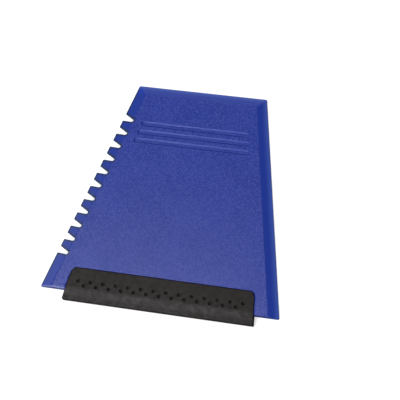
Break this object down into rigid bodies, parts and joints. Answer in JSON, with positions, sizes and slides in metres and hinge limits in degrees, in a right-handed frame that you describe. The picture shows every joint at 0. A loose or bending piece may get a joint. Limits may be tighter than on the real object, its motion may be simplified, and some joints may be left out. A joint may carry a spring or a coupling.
{
  "type": "ice scraper",
  "caption": "Flat trapezoid hand ice scraper: bevelled scraping edges, a notched side, finger grooves and a flexible rubber wiper lip on the wide edge.",
  "frame": {"origin": "middle of the plate's back face: halfway between the wide and narrow edges, on the centre line", "axes": "+Z out of the front face, +Y from the wide edge with the lip towards the narrow edge, +X to the right of the front face, so the notches are on the -X side"},
  "size_m": [0.1246, 0.1203, 0.0036],
  "materials": {
    "scraper_plastic": "fine grain on the front face, smooth on the bevels",
    "lip_rubber": "matte moulded"
  },
  "bodies": {
    "scraper": {"scraper_plate": "scraper_plastic", "lip_grip": "lip_rubber"},
    "wiping_edge": {"lip_blade": "lip_rubber"}
  },
  "joints": [
    {"name": "lip_flex", "type": "hinge", "parent": "scraper", "child": "wiping_edge", "pos_m": [0, -0.0585, 0.0018], "axis": [1, 0, 0], "range_deg": [-25, 25], "stiffness_Nm_per_rad": 0.05}
  ]
}
